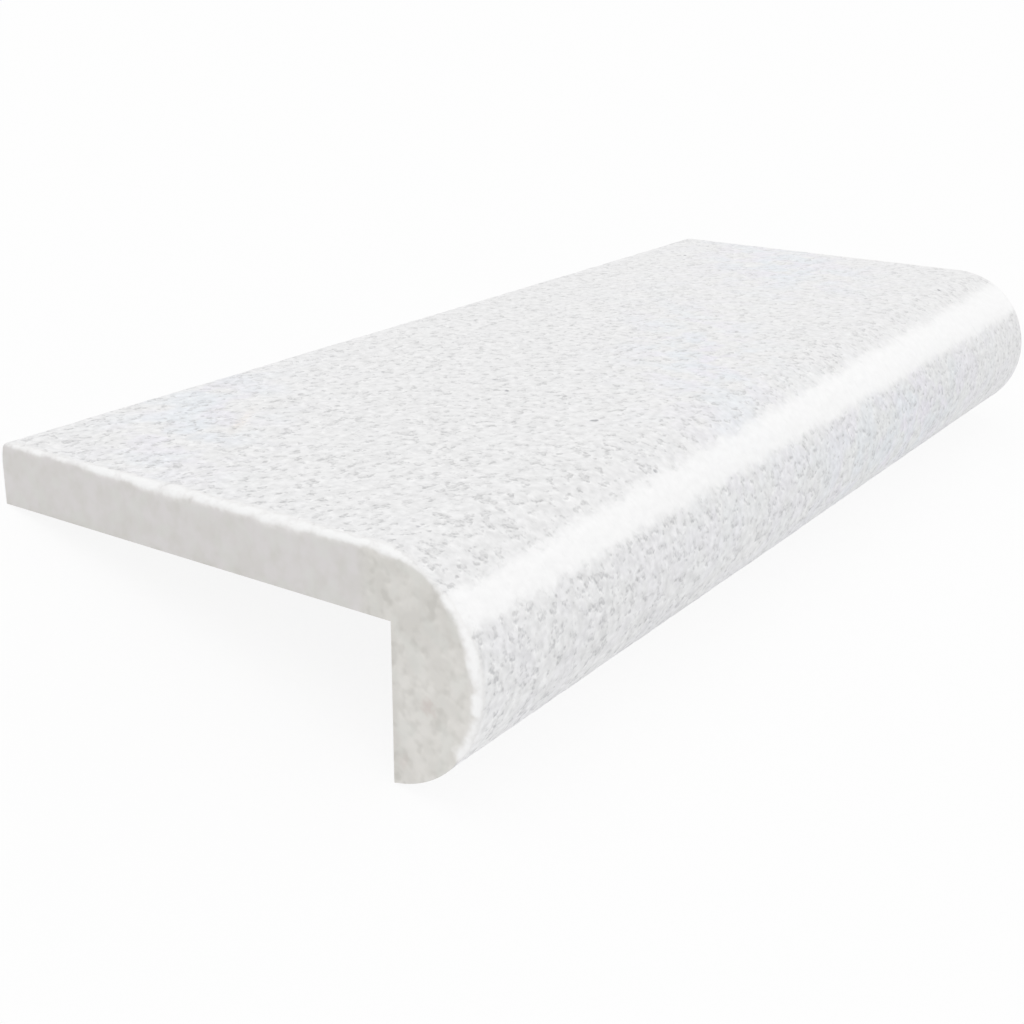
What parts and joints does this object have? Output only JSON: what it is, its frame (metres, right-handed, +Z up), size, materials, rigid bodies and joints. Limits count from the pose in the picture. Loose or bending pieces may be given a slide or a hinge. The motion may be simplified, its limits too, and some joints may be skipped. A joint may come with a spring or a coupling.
{
  "type": "pool coping stone",
  "caption": "Drop-face pool coping stone: a flat textured slab with a dropped, fully rounded front edge that caps a pool wall.",
  "frame": {"origin": "floor level under the centre of the bounding box, the stone lying as it comes to rest: on the foot of its dropped edge and the lower edge of its back", "axes": "+X along the stone's length, +Y from the round nose (pool side) to the square back, +Z up; the top face slopes down towards +Y by 16.9 degrees"},
  "size_m": [0.65, 0.2741, 0.0949],
  "materials": {
    "stone": "pale grey-white granite, flamed top, nose and drop face, smooth sawn ends, bed and back"
  },
  "bodies": {
    "root": {"coping_stone": "stone"}
  },
  "joints": []
}
